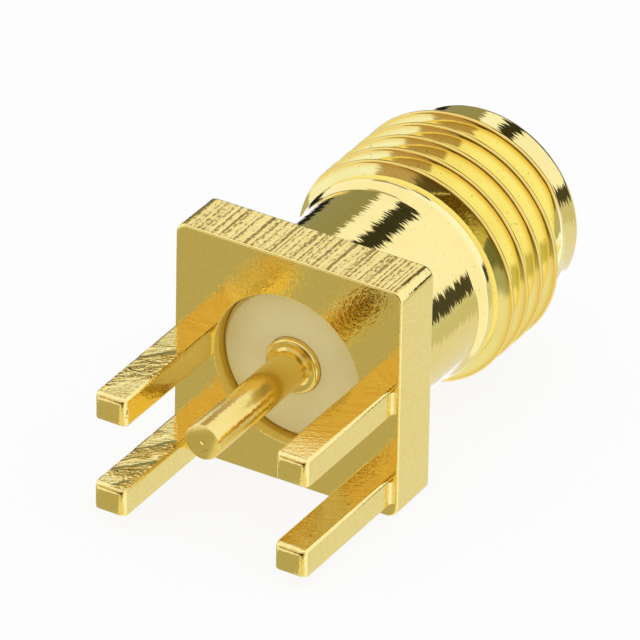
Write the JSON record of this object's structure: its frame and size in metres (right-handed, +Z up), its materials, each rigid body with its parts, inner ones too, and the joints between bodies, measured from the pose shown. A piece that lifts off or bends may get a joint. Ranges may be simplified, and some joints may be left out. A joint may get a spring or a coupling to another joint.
{
  "type": "sma connector",
  "caption": "Edge-mount coaxial jack: threaded barrel on a square flange, four legs that straddle a circuit board's edge and a solder pin between them.",
  "frame": {"origin": "on the barrel's axis, in the back face of the flange, which is the face that stops against the board's edge", "axes": "+Y along the barrel towards the mouth, +Z up from the board, X across it; the legs and the pin point to -Y"},
  "size_m": [0.0064, 0.0135, 0.0064],
  "materials": {
    "gold_plate": "bright gold plate over machined brass",
    "contact_gold": "bright gold plate over turned contact alloy",
    "insulator_white": "matte off-white fluoropolymer"
  },
  "bodies": {
    "root": {"body": "gold_plate", "insulator": "insulator_white", "centre_contact": "contact_gold"}
  },
  "joints": []
}
